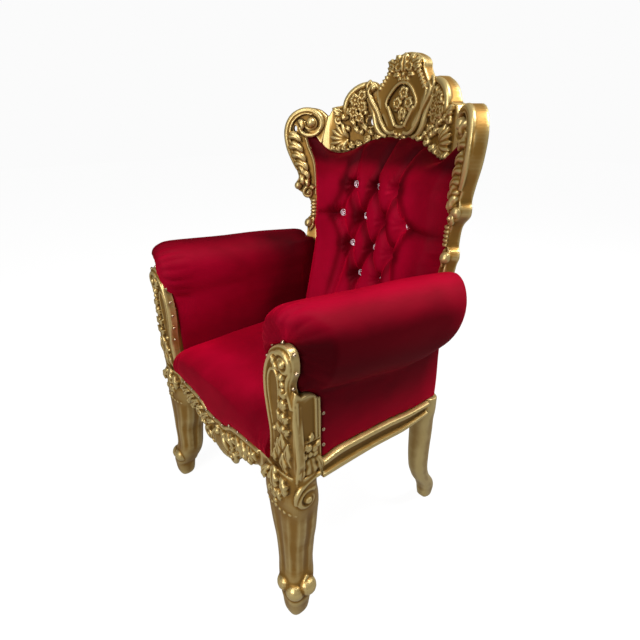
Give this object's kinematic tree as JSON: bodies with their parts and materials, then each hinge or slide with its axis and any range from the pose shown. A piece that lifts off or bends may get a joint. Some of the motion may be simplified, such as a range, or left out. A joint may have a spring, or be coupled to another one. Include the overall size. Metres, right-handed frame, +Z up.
{
  "type": "throne",
  "caption": "Carved and gilded armchair of state with a tall barrel back, deep-buttoned velvet, rolled upholstered arms and a shell apron.",
  "frame": {"origin": "on the floor under the middle of the chair's bounding box", "axes": "+Z up, the seat opens towards -Y, +X is the sitter's left; the chair is symmetric about X = 0"},
  "size_m": [0.777, 0.7114, 1.241],
  "materials": {
    "gilded_wood": "carved wood in satin antique gold",
    "crimson_velvet": "crimson pile velvet",
    "crystal": "clear faceted crystal"
  },
  "bodies": {
    "root": {"crest": "gilded_wood", "back_post_left": "gilded_wood", "back_post_right": "gilded_wood", "front_leg_left": "gilded_wood", "front_leg_right": "gilded_wood", "back_leg_left": "gilded_wood", "back_leg_right": "gilded_wood", "front_rail": "gilded_wood", "side_rail_left": "gilded_wood", "side_rail_right": "gilded_wood", "back_rail": "gilded_wood", "back_pad": "crimson_velvet", "back_panel": "crimson_velvet", "arm_left": "crimson_velvet", "arm_right": "crimson_velvet", "seat_pad": "crimson_velvet", "button_1_1": "crystal", "button_1_2": "crystal", "button_1_3": "crystal", "button_2_1": "crystal", "button_2_2": "crystal", "button_2_3": "crystal", "button_2_4": "crystal", "button_3_1": "crystal", "button_3_2": "crystal", "button_3_3": "crystal", "button_4_1": "crystal", "button_4_2": "crystal"}
  },
  "joints": []
}
